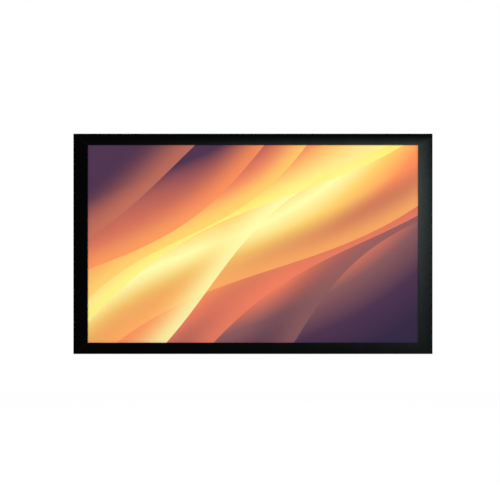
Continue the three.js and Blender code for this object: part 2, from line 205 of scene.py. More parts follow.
outer_width = cad_high.x - cad_low.x
metre_per_pixel = outer_width / OUTLINE_PIXELS
camera_data = bpy.data.cameras.new("camera")
camera_data.sensor_width = 36.0
to_front = CAMERA_DISTANCE + cad_low.y
camera_data.lens = camera_data.sensor_width * to_front / (metre_per_pixel * IMAGE_PIXELS)
camera_data.clip_end = 60.0
camera = bpy.data.objects.new("camera", camera_data)
camera.location = (
    -(OUTLINE_CENTRE[0] - IMAGE_PIXELS / 2) * metre_per_pixel,
    -CAMERA_DISTANCE,
    (OUTLINE_CENTRE[1] - IMAGE_PIXELS / 2) * metre_per_pixel,
)
camera.rotation_euler = (math.pi / 2, 0.0, 0.0)
bpy.context.collection.objects.link(camera)
bpy.context.scene.camera = camera
bpy.context.scene.view_settings.view_transform = "Standard"

WORLD_STRENGTH = 0.5
studio = bpy.data.worlds.new("studio")
bpy.context.scene.world = studio
sky = Shader(studio)
sky_strength = seen_directly(sky) * (1.0 - WORLD_STRENGTH) + WORLD_STRENGTH
sky_light = sky.node("ShaderNodeBackground", values={"Color": (1.0, 1.0, 1.0), "Strength": sky_strength})
sky.node("ShaderNodeOutputWorld", values={"Surface": sky_light})


SOFT_BOX_SIZE = 3.0


def soft_box(name, x, y, z, watts):
    """A square area lamp at a place, turned to the middle of the screen."""
    lamp = bpy.data.lights.new(name, "AREA")
    lamp.shape = "SQUARE"
    lamp.size = SOFT_BOX_SIZE
    lamp.energy = watts
    holder = bpy.data.objects.new(name, lamp)
    holder.location = (x, y, z)
    holder.rotation_euler = (math.atan2(math.hypot(x, y), z), 0.0, math.atan2(x, -y))
    bpy.context.collection.objects.link(holder)


soft_box("left_box", -3.6, -5.0, 2.6, 130.0)
soft_box("right_box", 3.6, -5.0, 2.6, 130.0)
soft_box("back_box", 0.0, 4.0, 3.0, 120.0)

FLOOR_DROP = 1.0
FLOOR_SIZE = 14.0
FLOOR_GLOW = 1.04
FLOOR_GLOW_SHARE = 0.9
floor_z = cad_low.z - FLOOR_DROP
half_floor = FLOOR_SIZE / 2
floor_mesh = bpy.data.meshes.new("floor")
floor_corners = [(-1, -1), (1, -1), (1, 1), (-1, 1)]
floor_points = [(x * half_floor, y * half_floor, floor_z) for x, y in floor_corners]
floor_mesh.from_pydata(floor_points, [], [(0, 1, 2, 3)])
floor = bpy.data.objects.new("floor", floor_mesh)
bpy.context.collection.objects.link(floor)

pale = material("pale_floor")
floor_paint = pale.node("ShaderNodeBsdfDiffuse", values={"Color": (0.9, 0.9, 0.9)})
floor_glow = pale.node("ShaderNodeEmission", values={"Color": (1.0, 1.0, 1.0), "Strength": FLOOR_GLOW})
glow_share = seen_directly(pale) * FLOOR_GLOW_SHARE
floor_mix = pale.node("ShaderNodeMixShader", values={0: glow_share, 1: floor_paint, 2: floor_glow})
underside = pale.node("ShaderNodeNewGeometry", output="Backfacing")
floor_clear = pale.node("ShaderNodeBsdfTransparent")
floor_shown = pale.node("ShaderNodeMixShader", values={0: underside, 1: floor_mix, 2: floor_clear})
pale.node("ShaderNodeOutputMaterial", values={"Surface": floor_shown})
floor_mesh.materials.append(pale.owner)


# Rails: hollow aluminium extrusions, black anodised, with a slot for the brackets at the back and a
# groove and lip for the clips. The die leaves fine lines along them, and the mitres are sawn. From
# here on, sizes are in millimetres.
SKIN = 1.1
EDGE_RADIUS = 2.0
DIE_RADIUS = 0.4
DIE_ARC_STEP = 22.5
FRAME_DEPTH = 38.0
BEVEL_FALL = 12.0
NOSE_HEIGHT = 6.0
LAND = 22.0
LAND_BLEND = 60.0
NOSE_RETURN = 12.0
RAIL_WALL = 1.8
SLOT_LIP = 2.0
SLOT_DEPTH = 5.0
SLOT_START = 7.0
SLOT_WIDTH = 19.0
SLOT_MOUTH = 9.0
GROOVE_WIDTH = 7.0
GROOVE_FLOOR = 12.0
LIP_BACK = 5.5
HAIRLINE = 0.25
SAWN_EDGE = 0.15
FIT = 0.3
SHARP_ANGLE = 35.0
MERGE_DISTANCE = 0.001

outer_height = cad_high.z - cad_low.z
half_width, half_height = outer_width / 2 / MM, outer_height / 2 / MM
back_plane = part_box("rail_left")[1].y
side_face = (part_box("velvet_left")[1].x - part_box("velvet_left")[0].x) / MM
top_face = (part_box("velvet_top_left")[1].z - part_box("velvet_top_left")[0].z) / MM
side_stretch = side_face / top_face

# Each edge of the frame: which way it runs, which way the picture lies from it, and where it is, as
# x and z in millimetres, with the stretch of its section.
EDGES = {
    "top": ((1, 0), (0, -1), (0, half_height), 1.0),
    "bottom": ((-1, 0), (0, 1), (0, -half_height), 1.0),
    "left": ((0, 1), (1, 0), (-half_width, 0), side_stretch),
    "right": ((0, -1), (-1, 0), (half_width, 0), side_stretch),
}
LONG_EDGES = ("top", "bottom")

# Each run of rail and its wrap: its edge, and whether it starts and ends at a mitre or, at 0, in the
# middle of the edge.
RUNS = {
    "top_left": ("top", -1, 0),
    "top_right": ("top", 0, 1),
    "bottom_right": ("bottom", -1, 0),
    "bottom_left": ("bottom", 0, 1),
    "left": ("left", -1, 1),
    "right": ("right", -1, 1),
}


def axis_of(edge):
    """The axis that an edge runs along."""
    return "x" if edge in LONG_EDGES else "z"


def points_at(x, y, z):
    """Points with these coordinates, each of them a grid, a row, a column or one number."""
    return np.stack(np.broadcast_arrays(x, y, z), axis=-1)


def on_edge(edge, s, u, v):
    """Points s along an edge, u inwards from it and v forwards from the back plane, all in millimetres."""
    along, inwards, origin, _ = EDGES[edge]
    x = origin[0] + s * along[0] + u * inwards[0]
    z = origin[1] + s * along[1] + u * inwards[1]
    return points_at(x * MM, back_plane - v * MM, z * MM)


def mitred_ends(run, gap):
    """Where the two ends of a run lie: at a place plus a slant times u. Each is half a gap or more short."""
    edge, low, high = RUNS[run]
    half, slope = (half_width, side_stretch) if edge in LONG_EDGES else (half_height, 1 / side_stretch)
    low_place = low * (half - gap) if low else gap / 2
    high_place = high * (half - gap) if high else -gap / 2
    return (low_place, -low * slope), (high_place, -high * slope)


def rounded_path(corners, closed=False, step=9.0):
    """Points through corners (u, v, radius). A corner with a radius becomes the arc that touches both of its
    sides, with a point every few degrees."""
    points = []
    for i, (u, v, radius) in enumerate(corners):
        corner = np.array([u, v], float)
        if radius == 0 or not closed and i in (0, len(corners) - 1):
            points.append(corner[None])
            continue
        back = np.subtract(corners[i - 1][:2], corner)
        on = np.subtract(corners[(i + 1) % len(corners)][:2], corner)
        back, on = back / np.linalg.norm(back), on / np.linalg.norm(on)
        half = math.acos(np.clip(back @ on, -1, 1)) / 2
        middle = (back + on) / np.linalg.norm(back + on)
        centre = corner + middle * radius / math.sin(half)
        first = corner + back * radius / math.tan(half) - centre
        turn = (math.pi - 2 * half) * (1 if back[0] * on[1] - back[1] * on[0] < 0 else -1)
        count = max(2, math.ceil(abs(math.degrees(turn)) / step))
        angles = math.atan2(first[1], first[0]) + turn * np.linspace(0, 1, count + 1)
        points.append(centre + radius * np.stack([np.cos(angles), np.sin(angles)], -1))
    return np.concatenate(points)


def rectangle(low_u, low_v, high_u, high_v, rounding):
    """A closed outline with four sides and round corners."""
    corners = [(low_u, low_v), (high_u, low_v), (high_u, high_v), (low_u, high_v)]
    return rounded_path([(*corner, rounding) for corner in corners], closed=True)


def face_corners(stretch, depth):
    """Corners of the frame's face, set back by a depth square to it: the back and front of its outer side,
    the start and end of its bevel, and the back of its nose. Their radii shrink by the depth."""
    land, face = LAND * stretch, top_face * stretch
    fall = BEVEL_FALL / (face - land)
    lean = math.hypot(1, fall)
    front = FRAME_DEPTH - depth
    bevel_start = land - depth * (lean - 1) / fall
    bevel_end = FRAME_DEPTH - (face - depth - land) * fall - depth * lean
    nose_back = FRAME_DEPTH - BEVEL_FALL - NOSE_HEIGHT + depth
    radius = max(EDGE_RADIUS - depth, DIE_RADIUS)
    return (
        (depth, depth - SKIN, radius),
        (depth, front, radius),
        (bevel_start, front, LAND_BLEND - depth),
        (face - depth, bevel_end, radius),
        (face - depth, nose_back, radius),
    )


def lip_at(stretch):
    """Where the lip that the clips pull on has its outer side."""
    return (SLOT_START + SLOT_WIDTH + RAIL_WALL) * stretch + GROOVE_WIDTH


def rail_section(stretch):
    """The section of a rail as two closed loops: its outline, round the slot, the groove and the lip, under
    the bevel to the nose and home over the face, and the chamber inside it."""
    back, front, land, bevel, nose = face_corners(stretch, SKIN)
    _, under_front, under_land, under_bevel, under_nose = face_corners(stretch, SKIN + RAIL_WALL)
    slot_start, slot_end = SLOT_START * stretch, (SLOT_START + SLOT_WIDTH) * stretch
    mouth_start = (SLOT_START + (SLOT_WIDTH - SLOT_MOUTH) / 2) * stretch
    mouth_end = (SLOT_START + (SLOT_WIDTH + SLOT_MOUTH) / 2) * stretch
    slot_floor = SLOT_LIP + SLOT_DEPTH
    chamber_end = lip_at(stretch) - GROOVE_WIDTH
    lip, lip_inside = lip_at(stretch), lip_at(stretch) + RAIL_WALL
    return_end = top_face * stretch - NOSE_RETURN

    def under_face(u):
        return float(np.interp(u, [under_land[0], under_bevel[0]], [under_land[1], under_bevel[1]]))

    slot = [
        (mouth_start, 0), (mouth_start, SLOT_LIP), (slot_start, SLOT_LIP), (slot_start, slot_floor),
        (slot_end, slot_floor), (slot_end, SLOT_LIP), (mouth_end, SLOT_LIP), (mouth_end, 0),
    ]
    groove = [
        (chamber_end, 0), (chamber_end, GROOVE_FLOOR), (lip, GROOVE_FLOOR), (lip, LIP_BACK),
        (lip_inside, LIP_BACK), (lip_inside, GROOVE_FLOOR + RAIL_WALL),
        (chamber_end, GROOVE_FLOOR + RAIL_WALL), (chamber_end, under_face(chamber_end)),
    ]
    under_nose_corners = [
        under_bevel[:2], under_nose[:2], (return_end, under_nose[1]), (return_end, nose[1]),
    ]
    inner_corners = [(*corner, DIE_RADIUS) for corner in slot + groove + under_nose_corners]
    outline = [back, *inner_corners, nose, bevel, land, front]
    wall_start, wall_end = slot_start - RAIL_WALL, chamber_end - RAIL_WALL
    chamber = [
        (under_front[0], SLOT_LIP), (wall_start, SLOT_LIP), (wall_start, slot_floor + RAIL_WALL),
        (wall_end, slot_floor + RAIL_WALL), (wall_end, under_face(wall_end)), under_land[:2], under_front[:2],
    ]
    rounded_chamber = [(*corner, DIE_RADIUS) for corner in chamber]
    return [rounded_path(loop, closed=True, step=DIE_ARC_STEP) for loop in (outline, rounded_chamber)]


def inset(outline, distance):
    """A closed outline moved inwards: each point goes along the mean of its two sides' normals, so far that
    both sides move by the distance, and twice the distance at most."""
    sides = np.roll(outline, -1, axis=0) - outline
    normals = np.stack([-sides[:, 1], sides[:, 0]], -1) / np.linalg.norm(sides, axis=1)[:, None]
    area = np.sum(outline[:, 0] * np.roll(outline[:, 1], -1) - outline[:, 1] * np.roll(outline[:, 0], -1))
    before = np.roll(normals, 1, axis=0)
    mean = normals + before
    mean /= np.linalg.norm(mean, axis=1)[:, None]
    reach = distance / np.maximum(np.sum(mean * normals, axis=1), 0.5)
    return outline + mean * reach[:, None] * np.sign(area)


def grid_quads(rows, columns, closed_columns=False):
    """Quads between neighbours in a grid of vertices that are numbered row by row."""
    steps = columns if closed_columns else columns - 1
    i, j = np.meshgrid(np.arange(rows - 1), np.arange(steps), indexing="ij")
    on_j = (j + 1) % columns
    corners = [i * columns + j, i * columns + on_j, (i + 1) * columns + on_j, (i + 1) * columns + j]
    return np.stack(corners, axis=-1).reshape(-1, 4)


def ringed(loops, chamfer):
    """Closed loops, an outline and the holes in it, as four rings of points: the two end rings are drawn
    into the material by a chamfer. With the faces between the rings and over both ends."""
    rims = [inset(loop, -chamfer if i else chamfer) for i, loop in enumerate(loops)]
    end_ring, ring = np.concatenate(rims), np.concatenate(loops)
    faces = []
    start = 0
    for loop in loops:
        count = len(loop)
        quads = grid_quads(4, count, closed_columns=True)
        faces += (quads // count * len(ring) + quads % count + start).tolist()
        start += count
    flat_rims = [np.pad(rim, ((0, 0), (0, 1))).tolist() for rim in rims]
    cap = np.array(mathutils.geometry.tessellate_polygon(flat_rims))
    faces += cap.tolist() + (cap + 3 * len(ring)).tolist()
    return np.stack([end_ring, ring, ring, end_ring]), faces


def ring_places(low, high, chamfer):
    """Places of the four rings from one end to the other, as a column."""
    return np.array([low, low + chamfer, high - chamfer, high])[:, None]


def carried(edge, loops, low, high, chamfer):
    """Closed loops (u, v) carried along an edge between two ends, each a place and a slant, with chamfered
    rims: s is the place plus the slant times u."""
    rings, faces = ringed(loops, chamfer)
    slants = np.array([low[1], low[1], high[1], high[1]])[:, None]
    s = ring_places(low[0], high[0], chamfer) + slants * rings[..., 0]
    return on_edge(edge, s, rings[..., 0], rings[..., 1]).reshape(-1, 3), faces


def new_piece(name, points, faces, finishes, solid=True, face_finish=None):
    """A mesh piece that rides with the frame, with its points in metres. Vertices that lie on each other are
    merged. A solid's faces are turned out, and its flat faces are shaded flat beside their rounded edges."""
    mesh = bpy.data.meshes.new(name)
    mesh.from_pydata(points.reshape(-1, 3).tolist(), [], [list(face) for face in faces])
    for finish in finishes:
        mesh.materials.append(finish)
    if face_finish is not None:
        mesh.polygons.foreach_set("material_index", np.asarray(face_finish, np.int32))
    whole = bmesh.new()
    whole.from_mesh(mesh)
    bmesh.ops.remove_doubles(whole, verts=whole.verts, dist=MERGE_DISTANCE * MM)
    if solid:
        bmesh.ops.recalc_face_normals(whole, faces=whole.faces)
    whole.to_mesh(mesh)
    whole.free()
    mesh.shade_smooth()
    mesh.set_sharp_from_angle(angle=math.radians(SHARP_ANGLE))
    piece = bpy.data.objects.new(name, mesh)
    bpy.context.collection.objects.link(piece)
    if solid:
        flats = piece.modifiers.new("flats", "WEIGHTED_NORMAL")
        flats.keep_sharp = True
    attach(piece, "root")
    return piece


DIE_LINE = (400.0, 1.1)
DIE_BAND = (1250.0, 6.0)
ETCH_GRAIN = 0.45
ANODISED_DARK = (0.005, 0.0055, 0.0065)
ANODISED_PALE = (0.046, 0.047, 0.050)


def drawn_out(lengthwise, size):
    """Sizes along x, y and z of the lumps of a noise, from their length and breadth."""
    length, breadth = size
    return (length, breadth, breadth) if lengthwise == "x" else (breadth, breadth, length)


def anodised(name, lengthwise):
    """Black anodised extrusion. Die lines and broader bands run along one axis, so their noise is drawn out
    along it. A fine satin grain from the etch lies over them."""
    shader = material(name)
    lines = shader.noise(drawn_out(lengthwise, DIE_LINE), detail=4.0)
    bands = shader.noise(drawn_out(lengthwise, DIE_BAND))
    etch = shader.noise(ETCH_GRAIN)
    paleness = lines * 0.5 + bands * 0.35 + etch * 0.15
    return shader.surface(
        base_color=shader.blend(paleness, ANODISED_DARK, ANODISED_PALE),
        metallic=0.8,
        roughness=lines * 0.26 + bands * 0.12 + 0.22,
        normal=shader.bump(lines * 0.8 + etch * 0.2, 0.12),
    )


anodised_lengthwise = {"x": anodised("anodised_long_rail", "x"), "z": anodised("anodised_short_rail", "z")}
for run, (edge, _, _) in RUNS.items():
    low_end, high_end = mitred_ends(run, HAIRLINE)
    points, faces = carried(edge, rail_section(EDGES[edge][3]), low_end, high_end, SAWN_EDGE)
    finish = anodised_lengthwise[axis_of(edge)]
    extrusion = new_piece(f"extrusion_{run}", points, faces, [finish])
    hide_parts(f"rail_{run}")


# Velvet wraps: black pile cloth cut in strips, glued over the rails and turned in at the back and
# behind the nose. A slate sheen is painted into its colour, strongest on the right-hand side, as a soft light
# from the right would give.
PILE = 0.8
PILE_LAP = 0.02
BACK_RETURN = 5.5
PATH_STEP = 3.0
STATION_STEP = 14.0
LAY_HEIGHT = 0.05
LAY_WAVES = ((0.043, 0.11), (0.017, 0.2))


def filled(points, gap):
    """The same path with extra points, so that none of its steps is longer than a gap."""
    lengths = np.linalg.norm(np.diff(points, axis=0), axis=1)
    counts = np.maximum(1, np.ceil(lengths / gap).astype(int))
    starts = np.repeat(np.arange(len(counts)), counts)
    shares = (np.arange(counts.sum()) - np.repeat(np.cumsum(counts) - counts, counts)) / counts[starts]
    between = points[starts] + (points[starts + 1] - points[starts]) * shares[:, None]
    return np.concatenate([between, points[-1:]])


def wrap_path(stretch):
    """The face of the frame in its section: up the outer side, over the land and the bevel, and round the
    nose to its back."""
    back, front, land, bevel, nose = face_corners(stretch, 0.0)
    turned_in = (BACK_RETURN, -SKIN, 0)
    tucked = (nose[0] - NOSE_RETURN, nose[1], 0)
    return filled(rounded_path([turned_in, back, front, land, bevel, nose, tucked]), PATH_STEP)


VELVET_BLACK = (0.0003, 0.0003, 0.0003)
# Painted sheen: the slate colour of a highlight painted on the right of the frame, and the height and spread
# of its brightest part.
PAINTED_SHEEN_SLATE = (0.043, 0.055, 0.0535)
PAINTED_SHEEN_HEIGHT = 270.0
PAINTED_SHEEN_SPREAD = 400.0
FIBRE = 0.67
TUFT = 3.8
STROKE = (38.0, 38.0, 110.0)


def painted_velvet_sheen(x, z):
    """A painted sheen: how much of the slate highlight that a soft light from the right would give is painted
    into the velvet's colour. It falls off to the left, faster along the bottom, above and below a height by a
    bell curve, and from the nose to the outer edge, more so higher up."""
    from_right = outer_width / 2 - x
    squared = from_right * from_right
    sideways = (from_right * (z * 0.5 - 1.2) - squared * squared * 0.15).exp()
    from_height = (z - PAINTED_SHEEN_HEIGHT * MM) / (PAINTED_SHEEN_SPREAD * MM)
    upwards = (from_height * from_height * -0.5).exp() * 0.84 + 0.16
    from_side = (outer_width / 2 - abs(x)) / (side_face * MM)
    from_top = (outer_height / 2 - z) / (top_face * MM)
    from_bottom = (outer_height / 2 + z) / (top_face * MM)
    outermost = 0.3 - z * 0.25
    across_side = from_side * (1.0 - outermost) + outermost
    inwards = across_side.smallest((from_top.largest(0.0) * 1.1) ** 2.0)
    return sideways * upwards * inwards.smallest(from_bottom * 0.4 + 0.6).smallest(1.0)


def black_velvet():
    """Black pile cloth: short upright fibres that trap light. They part in small tufts and lie in strokes,
    which break up a painted slate sheen that is lighter on the right and towards the nose, as a soft light
    from the right would give."""
    shader = material("black_velvet")
    x, _, z = shader.place()
    fibres = shader.noise(FIBRE, detail=3.0)
    tufts = shader.noise(TUFT, detail=3.0)
    strokes = shader.noise(STROKE)
    lie = fibres.smooth(0.3, 0.7) * 0.5 + tufts.smooth(0.3, 0.7) * 0.5 + strokes * 0.4 + 0.3
    # Painted sheen: the slate highlight painted into the base colour, broken up by the fibres, tufts and
    # strokes; the tufts also add a faint tone of their own.
    paleness = painted_velvet_sheen(x, z) * lie + tufts * 0.004
    return shader.surface(
        base_color=shader.blend(paleness, VELVET_BLACK, PAINTED_SHEEN_SLATE),
        roughness=1.0,
        specular_ior_level=0.0,
        sheen_weight=0.03,
        sheen_roughness=0.55,
        normal=shader.bump(fibres * 0.6 + tufts * 0.8, 0.6),
    )


velvet = black_velvet()
for run, (edge, _, _) in RUNS.items():
    path = wrap_path(EDGES[edge][3])
    (low, low_slant), (high, high_slant) = mitred_ends(run, -PILE_LAP)
    shares = np.linspace(0, 1, math.ceil((high - low) / STATION_STEP))[:, None]
    s = (low + low_slant * path[:, 0]) * (1 - shares) + (high + high_slant * path[:, 0]) * shares
    # The cloth isn't quite flat: its face rises and falls by the product of two slow waves, one on s and u
    # and one on s and v, with their rates in radians a millimetre.
    waves = [np.sin(s * s_rate + place * rate) for (s_rate, rate), place in zip(LAY_WAVES, path.T)]
    lay = LAY_HEIGHT * waves[0] * waves[1]
    points = on_edge(edge, s, path[:, 0], path[:, 1] + lay)
    wrap = new_piece(f"velvet_wrap_{run}", points, grid_quads(*s.shape), [velvet], solid=False)
    thick = wrap.modifiers.new("pile", "SOLIDIFY")
    thick.thickness = PILE * MM
    thick.offset = -1.0
    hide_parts(f"velvet_{run}")
    cut_length = (high - low) * MM


# Corner brackets and splice bars: zinc-plated steel plates stamped from strip, which join the rails
# through their slots. Each is clamped by M5 grub screws with a hexagon socket, black oxide.
PLATE_EDGE = 0.3
PLATE_ROUNDING = 1.0
CORNER_ROUNDING = 3.0
GRUB_RADIUS = 2.5
GRUB_HOLE_SIDES = 32

MOTTLE = 4.2
PATCH = 29.0
ROLLING_SCRATCH = (0.7, 0.7, 14.0)
ZINC_DARK = (0.27, 0.29, 0.32)
ZINC_PALE = (0.53, 0.555, 0.57)


def zinc_plate():
    """Bright zinc: a blue-white metal with a mottle, fine rolling scratches and duller patches."""
    shader = material("zinc_plate")
    mottle = shader.noise(MOTTLE, detail=4.0)
    patches = shader.noise(PATCH)
    scratches = shader.noise(ROLLING_SCRATCH, detail=4.0)
    cloudy = (patches * 0.5 + mottle * 0.5).smooth(0.35, 0.65)
    return shader.surface(
        base_color=shader.blend(cloudy, ZINC_DARK, ZINC_PALE),
        metallic=1.0,
        roughness=patches * 0.25 + scratches * 0.2 + 0.24,
        normal=shader.bump(scratches * 0.7 + mottle, 0.08),
    )


def arc(u, v, radius, start, end, count):
    """Points on a circle, with its angles in degrees from the u direction towards the front."""
    angles = np.radians(np.linspace(start, end, count))
    return np.stack([u + radius * np.cos(angles), v + radius * np.sin(angles)], axis=-1)


def plate_corners(width, height, legs):
    """Corners (a, b, radius) of a plate, a and b from its outer corner inwards. Legs are the widths of an L's
    two legs, or nothing for a straight bar."""
    if not legs:
        return [(*corner, PLATE_ROUNDING) for corner in ((0, 0), (width, 0), (width, height), (0, height))]
    upright, level = legs
    inner = [(width, 0), (width, level), (upright, level), (upright, height), (0, height)]
    return [(0, 0, CORNER_ROUNDING), *[(*corner, PLATE_ROUNDING) for corner in inner]]


def nodes_with(*words):
    """Names of the solids that hold one of these words."""
    return [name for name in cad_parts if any(word in name for word in words)]


zinc = zinc_plate()
slot_fill = SLOT_WIDTH * side_stretch - 2 * FIT, SLOT_WIDTH - 2 * FIT

for node in nodes_with("corner_bracket_", "splice_bar_"):
    is_corner = node.startswith("corner")
    low, high = [np.array(corner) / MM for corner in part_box(node)]
    width, _, height = high - low
    sideways = 1 if node.endswith("right") else -1
    up = 1 if "top" in node else -1
    outer_x = high[0] if sideways > 0 else low[0]
    outer_z = high[2] if up > 0 else low[2]
    corners = plate_corners(width, height, slot_fill if is_corner else None)
    placed = [(outer_x - sideways * a, outer_z - up * b, radius) for a, b, radius in corners]
    outline = rounded_path(placed, closed=True)
    screw_name = node.replace("bracket", "screw").replace("bar", "screw")
    holes = []
    for screw_low, screw_high in map(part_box, nodes_with(screw_name)):
        middle = (screw_low + screw_high) / 2 / MM
        whole_circle = arc(middle.x, middle.z, GRUB_RADIUS + FIT, 0, 360, GRUB_HOLE_SIDES + 1)
        holes.append(whole_circle[:-1])
    rings, faces = ringed([outline, *holes], PLATE_EDGE)
    points = points_at(rings[..., 0], ring_places(low[1], high[1], PLATE_EDGE), rings[..., 1]) * MM
    plate = new_piece(f"stamped_{node}", points, faces, [zinc])
    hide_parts(node)

GRUB_LENGTH = 6.0
GRUB_CHAMFER = 0.6
SOCKET_RADIUS = 1.45
SOCKET_DEPTH = 2.4
DRILL_DEPTH = 0.5
THREAD_PITCH = 0.8
THREAD_DEPTH = 0.4
THREAD_ROOT = 0.1
THREAD_FLANK = 0.75
GRUB_SIDES = 30
GRUB_RINGS = 60
OXIDE_SPOT = 1.1
OXIDE_BLACK = (0.016, 0.016, 0.018)
OXIDE_WORN = (0.07, 0.07, 0.072)


def grub_surface():
    """Rings from the middle of the point, up the thread and down into the socket. The thread's radius rises
    and falls once a pitch, is shifted by a pitch a turn, and is cut off by a chamfer at each end. Root and
    flank are shares of half a pitch."""
    turn = np.linspace(0, 2 * math.pi, GRUB_SIDES, endpoint=False)
    height = np.linspace(0, GRUB_LENGTH, GRUB_RINGS)[:, None]
    phase = (height / THREAD_PITCH - turn / (2 * math.pi)) % 1
    crest = np.clip((np.abs(2 * phase - 1) - THREAD_ROOT) / THREAD_FLANK, 0, 1)
    thread = GRUB_RADIUS - THREAD_DEPTH * (1 - crest)
    from_end = np.minimum(height, GRUB_LENGTH - height)
    thread = np.minimum(thread, GRUB_RADIUS - GRUB_CHAMFER + from_end)
    side = math.pi / 3
    hexagon = SOCKET_RADIUS * math.cos(side / 2) / np.cos((turn + side / 2) % side - side / 2)
    radii = [turn * 0, *thread, hexagon, hexagon, turn * 0]
    socket_floor = GRUB_LENGTH - SOCKET_DEPTH
    heights = [0, *height[:, 0], GRUB_LENGTH, socket_floor, socket_floor - DRILL_DEPTH]
    return np.array(radii), np.array(heights)[:, None], turn


def black_oxide():
    """Blackened steel: dark and slightly oily, worn grey in small spots."""
    shader = material("black_oxide")
    spots = shader.noise(OXIDE_SPOT, detail=4.0)
    tone = shader.blend(spots.smooth(0.5, 0.75), OXIDE_BLACK, OXIDE_WORN)
    return shader.surface(base_color=tone, metallic=0.9, roughness=spots * 0.2 + 0.3)


oxide = black_oxide()
radii, heights, turn = grub_surface()
for node in nodes_with("_screw_"):
    low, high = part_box(node)
    middle = (low + high) / 2
    x = middle.x + radii * np.cos(turn) * MM
    z = middle.z + radii * np.sin(turn) * MM
    points = points_at(x, low.y + heights * MM, z)
    quads = grid_quads(*radii.shape, closed_columns=True)
    screw = new_piece(node.replace("screw", "grub"), points, quads, [oxide])
    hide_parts(node)


# Screen sheet: matt PVC film. It is turned round the tension rods at its edges and welded to its own
# back, with notches where the clips reach the rods. The picture on it is a generic one.
SHEET = 0.45
ROD_RADIUS = 2.5
ROD_FROM_LIP = 12.2
WELD_WIDTH = 11.0
CORNER_CUT = 24.0
ROD_GAP = 16.0
CLIP_PITCH = 200.0
CLIP_WIDTH = 16.0
CLIP_JAW = 2.3
NOTCH_MARGIN = 3.0
WELD_GAP = 0.02
FLAP_STEP = 30.0
LOOP_START = 90
LOOP_END = 315
LOOP_POINTS = 22

sheet_front = FRAME_DEPTH - BEVEL_FALL - NOSE_HEIGHT - FIT
hem_radius = ROD_RADIUS + FIT + SHEET
rod_v = sheet_front - hem_radius


def rod_at(edge):
    """Where the middle of an edge's rods lies."""
    return lip_at(EDGES[edge][3]) + RAIL_WALL + ROD_FROM_LIP


sheet_half = {"x": half_width - rod_at("left"), "z": half_height - rod_at("top")}


def rod_runs(edge):
    """Stretches of rod on an edge: two with a gap on the long edges, one on the short ones."""
    end = sheet_half[axis_of(edge)] - CORNER_CUT - FIT
    return [(-end, -ROD_GAP / 2), (ROD_GAP / 2, end)] if edge in LONG_EDGES else [(-end, end)]


def clip_places(low, high):
    """Middles of the clips on a rod: in even steps near the pitch, with half a step at each end."""
    count = max(1, round((high - low) / CLIP_PITCH))
    return low + (np.arange(count) + 0.5) * (high - low) / count


def flap_stations(edge):
    """Places along a flap: its ends, both sides of each notch, and even steps between them. With whether the
    film is notched after each."""
    clips = np.concatenate([clip_places(*run) for run in rod_runs(edge)])
    notch = CLIP_WIDTH / 2 + NOTCH_MARGIN
    end = sheet_half[axis_of(edge)] - CORNER_CUT
    near_ends = [-end, -end + CORNER_CUT / 2, end - CORNER_CUT / 2, end]
    fixed = np.sort(np.concatenate([near_ends, clips - notch, clips + notch]))
    places = filled(np.stack([fixed, fixed * 0], -1), FLAP_STEP)[:, 0]
    middles = (places[1:] + places[:-1]) / 2
    return places, (np.abs(middles[:, None] - clips) < notch).any(axis=1)


flap_rows = {axis_of(edge): flap_stations(edge) for edge in ("top", "left")}
PANEL_INSET = CORNER_CUT / 2
notch_depth = ROD_RADIUS + CLIP_JAW + 2 * FIT
loop_u, loop_v = arc(0.0, rod_v, hem_radius, LOOP_START, LOOP_END, LOOP_POINTS).T
weld_v = sheet_front - 2 * SHEET - WELD_GAP
# The film leaves the loop at 45 degrees and is welded where it reaches the sheet.
weld_from = math.sqrt(2) * hem_radius + weld_v - rod_v
flap_u = np.concatenate([[PANEL_INSET, notch_depth], loop_u, [weld_from, weld_from + WELD_WIDTH]])
flap_v = np.concatenate([[sheet_front, sheet_front], loop_v, [weld_v, weld_v]])
FLAT_STEPS = 2
PLAIN_HEM = 1
WELD = 3


def drawn_in(axis):
    """Places along the root of a flap: those past the cut corners lie at the corners of the panel."""
    places, half = flap_rows[axis][0], sheet_half[axis]
    past_cut = np.abs(places) > half - CORNER_CUT - MERGE_DISTANCE
    return np.where(past_cut, np.sign(places) * (half - PANEL_INSET), places)


def flap(edge):
    """A flap of the sheet: out to the rod, round it and back to the weld, without its faces in notches."""
    places, notched = flap_rows[axis_of(edge)]
    share = np.clip(flap_u / PANEL_INSET, 0, 1)
    share[FLAT_STEPS:] = 0.0
    s = places[:, None] * (1 - share) + drawn_in(axis_of(edge))[:, None] * share
    points = on_edge(edge, s, rod_at(edge) + flap_u, flap_v)
    quads = grid_quads(*s.shape)[:, ::-1].reshape(len(places) - 1, len(flap_u) - 1, 4)
    kept = np.ones(quads.shape[:2], bool)
    kept[notched, 1:] = False
    finish = np.zeros(quads.shape[:2], int)
    finish[:, FLAT_STEPS:] = PLAIN_HEM
    finish[:, -1] = WELD
    return points.reshape(-1, 3), quads[kept], finish[kept]


def panel():
    """The flat of the sheet between the flaps, with a row of vertices for each place on them."""
    x, z = np.meshgrid(drawn_in("x"), drawn_in("z"), indexing="ij")
    points = points_at(x * MM, back_plane - sheet_front * MM, z * MM)
    quads = grid_quads(*x.shape)[:, ::-1]
    return points.reshape(-1, 3), quads, np.zeros(len(quads), int)


sheet_parts = [panel(), *[flap(edge) for edge in EDGES]]
offsets = np.cumsum([0] + [len(points) for points, _, _ in sheet_parts[:-1]])
sheet_points = np.concatenate([points for points, _, _ in sheet_parts])
sheet_quads = np.concatenate([quads + offset for (_, quads, _), offset in zip(sheet_parts, offsets)])
sheet_finish = np.concatenate([finish for _, _, finish in sheet_parts])


